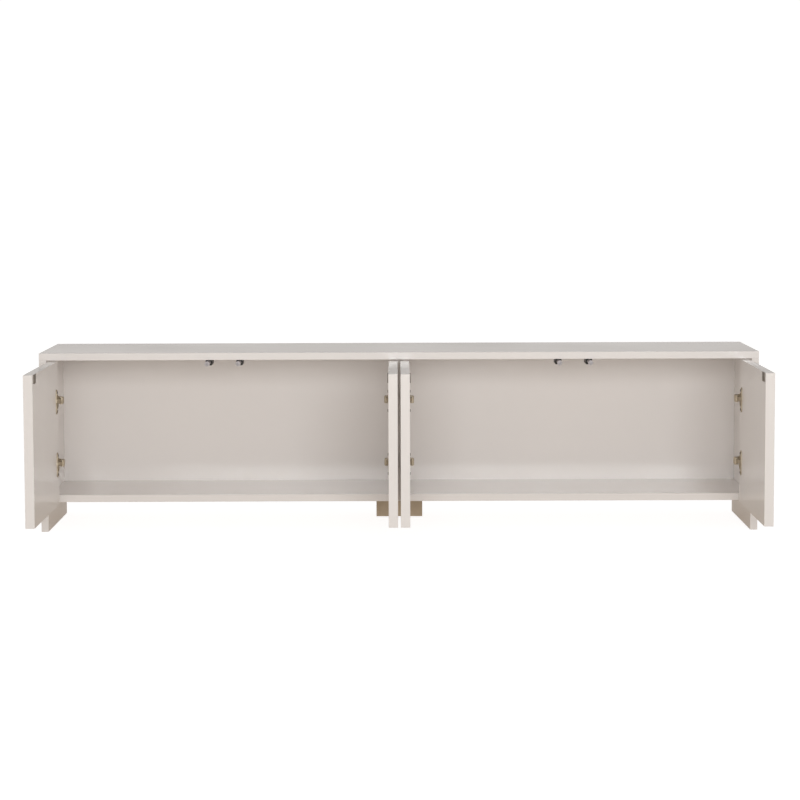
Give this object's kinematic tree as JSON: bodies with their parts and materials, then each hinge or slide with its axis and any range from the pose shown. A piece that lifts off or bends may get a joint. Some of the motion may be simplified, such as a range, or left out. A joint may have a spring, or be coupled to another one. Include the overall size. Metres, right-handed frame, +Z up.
{
  "type": "tv stand with doors",
  "caption": "Long low lacquered television stand with hinged doors on concealed cup hinges and push latches, on panel ends and a set-back middle foot.",
  "frame": {"origin": "on the floor, in the middle of the box around the stand with its doors square open", "axes": "+X along the stand to its right end seen from the front, +Y from the front to the back, +Z up"},
  "size_m": [1.8, 0.7762, 0.45],
  "materials": {
    "gloss_lacquer": "gloss ivory lacquer on medium-density fibreboard",
    "primed_board": "matt beige primer on medium-density fibreboard",
    "dowel_wood": "plain fluted beech",
    "zinc_alloy": "die-cast zinc",
    "black_plastic": "moulded black",
    "grey_plastic": "moulded grey",
    "magnet": "plated magnet",
    "screw_steel": "zinc plated",
    "strike_steel": "plated sheet",
    "pin_steel": "drawn and plated",
    "zinc_plated_steel": "zinc plated",
    "nickel_plated_steel": "satin nickel plate"
  },
  "bodies": {
    "carcass": {"bottom_panel": "gloss_lacquer", "cam_bolts": "zinc_alloy", "cam_locks": "zinc_alloy", "centre_divider": "gloss_lacquer", "centre_foot": "primed_board", "centre_hinge_arms": "nickel_plated_steel", "dowels": "dowel_wood", "foot_bracket": "zinc_plated_steel", "foot_bracket_screws": "screw_steel", "hinge_arm_screws": "screw_steel", "hinge_mounting_plates": "nickel_plated_steel", "hinge_pins": "pin_steel", "latch_screws": "screw_steel", "left_back_panel": "gloss_lacquer", "left_centre_latch_housing": "black_plastic", "left_end_panel": "gloss_lacquer", "left_outer_latch_housing": "black_plastic", "mounting_plate_screws": "screw_steel", "outer_hinge_arms": "nickel_plated_steel", "right_back_panel": "gloss_lacquer", "right_centre_latch_housing": "black_plastic", "right_end_panel": "gloss_lacquer", "right_outer_latch_housing": "black_plastic", "top_panel": "gloss_lacquer"},
    "left_outer_leaf": {"left_outer_cup_screws": "screw_steel", "left_outer_door": "gloss_lacquer", "left_outer_hinge_cups": "nickel_plated_steel", "left_outer_strike_plate": "strike_steel", "left_outer_strike_screw": "screw_steel"},
    "left_outer_link_pair": {"left_outer_hinge_links": "nickel_plated_steel"},
    "left_outer_push_rod": {"left_outer_latch_plunger": "grey_plastic", "left_outer_latch_magnet": "magnet"},
    "left_centre_leaf": {"left_centre_cup_screws": "screw_steel", "left_centre_door": "gloss_lacquer", "left_centre_hinge_cups": "nickel_plated_steel", "left_centre_strike_plate": "strike_steel", "left_centre_strike_screw": "screw_steel"},
    "left_centre_link_pair": {"left_centre_hinge_links": "nickel_plated_steel"},
    "left_centre_push_rod": {"left_centre_latch_plunger": "grey_plastic", "left_centre_latch_magnet": "magnet"},
    "right_centre_leaf": {"right_centre_cup_screws": "screw_steel", "right_centre_door": "gloss_lacquer", "right_centre_hinge_cups": "nickel_plated_steel", "right_centre_strike_plate": "strike_steel", "right_centre_strike_screw": "screw_steel"},
    "right_centre_link_pair": {"right_centre_hinge_links": "nickel_plated_steel"},
    "right_centre_push_rod": {"right_centre_latch_plunger": "grey_plastic", "right_centre_latch_magnet": "magnet"},
    "right_outer_leaf": {"right_outer_cup_screws": "screw_steel", "right_outer_door": "gloss_lacquer", "right_outer_hinge_cups": "nickel_plated_steel", "right_outer_strike_plate": "strike_steel", "right_outer_strike_screw": "screw_steel"},
    "right_outer_link_pair": {"right_outer_hinge_links": "nickel_plated_steel"},
    "right_outer_push_rod": {"right_outer_latch_plunger": "grey_plastic", "right_outer_latch_magnet": "magnet"}
  },
  "joints": [
    {"name": "left_outer_door_swing", "type": "hinge", "parent": "carcass", "child": "left_outer_leaf", "pos_m": [-0.872, 0.0426, 0.25], "axis": [0, 0, 1], "range_deg": [-5, 90]},
    {"name": "left_outer_link_turn", "type": "hinge", "parent": "carcass", "child": "left_outer_link_pair", "pos_m": [-0.848, 0.0551, 0.25], "axis": [0, 0, 1], "range_deg": [-62.5, 4]},
    {"name": "left_outer_plunger_slide", "type": "slide", "parent": "carcass", "child": "left_outer_push_rod", "axis": [0, 1, 0], "range_m": [-0.003, 0.0401]},
    {"name": "left_centre_door_swing", "type": "hinge", "parent": "carcass", "child": "left_centre_leaf", "pos_m": [-0.0078, 0.0426, 0.25], "axis": [0, 0, -1], "range_deg": [0, 90]},
    {"name": "left_centre_link_turn", "type": "hinge", "parent": "carcass", "child": "left_centre_link_pair", "pos_m": [-0.0318, 0.0551, 0.25], "axis": [0, 0, -1], "range_deg": [-62.5, 4]},
    {"name": "left_centre_plunger_slide", "type": "slide", "parent": "carcass", "child": "left_centre_push_rod", "axis": [0, 1, 0], "range_m": [-0.003, 0.0401]},
    {"name": "right_centre_door_swing", "type": "hinge", "parent": "carcass", "child": "right_centre_leaf", "pos_m": [0.0078, 0.0426, 0.25], "axis": [0, 0, 1], "range_deg": [0, 90]},
    {"name": "right_centre_link_turn", "type": "hinge", "parent": "carcass", "child": "right_centre_link_pair", "pos_m": [0.0318, 0.0551, 0.25], "axis": [0, 0, 1], "range_deg": [-62.5, 4]},
    {"name": "right_centre_plunger_slide", "type": "slide", "parent": "carcass", "child": "right_centre_push_rod", "axis": [0, 1, 0], "range_m": [-0.003, 0.0401]},
    {"name": "right_outer_door_swing", "type": "hinge", "parent": "carcass", "child": "right_outer_leaf", "pos_m": [0.872, 0.0426, 0.25], "axis": [0, 0, -1], "range_deg": [-5, 90]},
    {"name": "right_outer_link_turn", "type": "hinge", "parent": "carcass", "child": "right_outer_link_pair", "pos_m": [0.848, 0.0551, 0.25], "axis": [0, 0, -1], "range_deg": [-62.5, 4]},
    {"name": "right_outer_plunger_slide", "type": "slide", "parent": "carcass", "child": "right_outer_push_rod", "axis": [0, 1, 0], "range_m": [-0.003, 0.0401]}
  ],
  "couplings": [
    {"joint": "left_outer_link_turn", "follows": "left_outer_door_swing", "ratio": -0.68889},
    {"joint": "left_outer_plunger_slide", "follows": "left_outer_door_swing", "m_per_rad": 0.025465},
    {"joint": "left_centre_link_turn", "follows": "left_centre_door_swing", "ratio": -0.68889},
    {"joint": "left_centre_plunger_slide", "follows": "left_centre_door_swing", "m_per_rad": 0.025465},
    {"joint": "right_centre_link_turn", "follows": "right_centre_door_swing", "ratio": -0.68889},
    {"joint": "right_centre_plunger_slide", "follows": "right_centre_door_swing", "m_per_rad": 0.025465},
    {"joint": "right_outer_link_turn", "follows": "right_outer_door_swing", "ratio": -0.68889},
    {"joint": "right_outer_plunger_slide", "follows": "right_outer_door_swing", "m_per_rad": 0.025465}
  ]
}
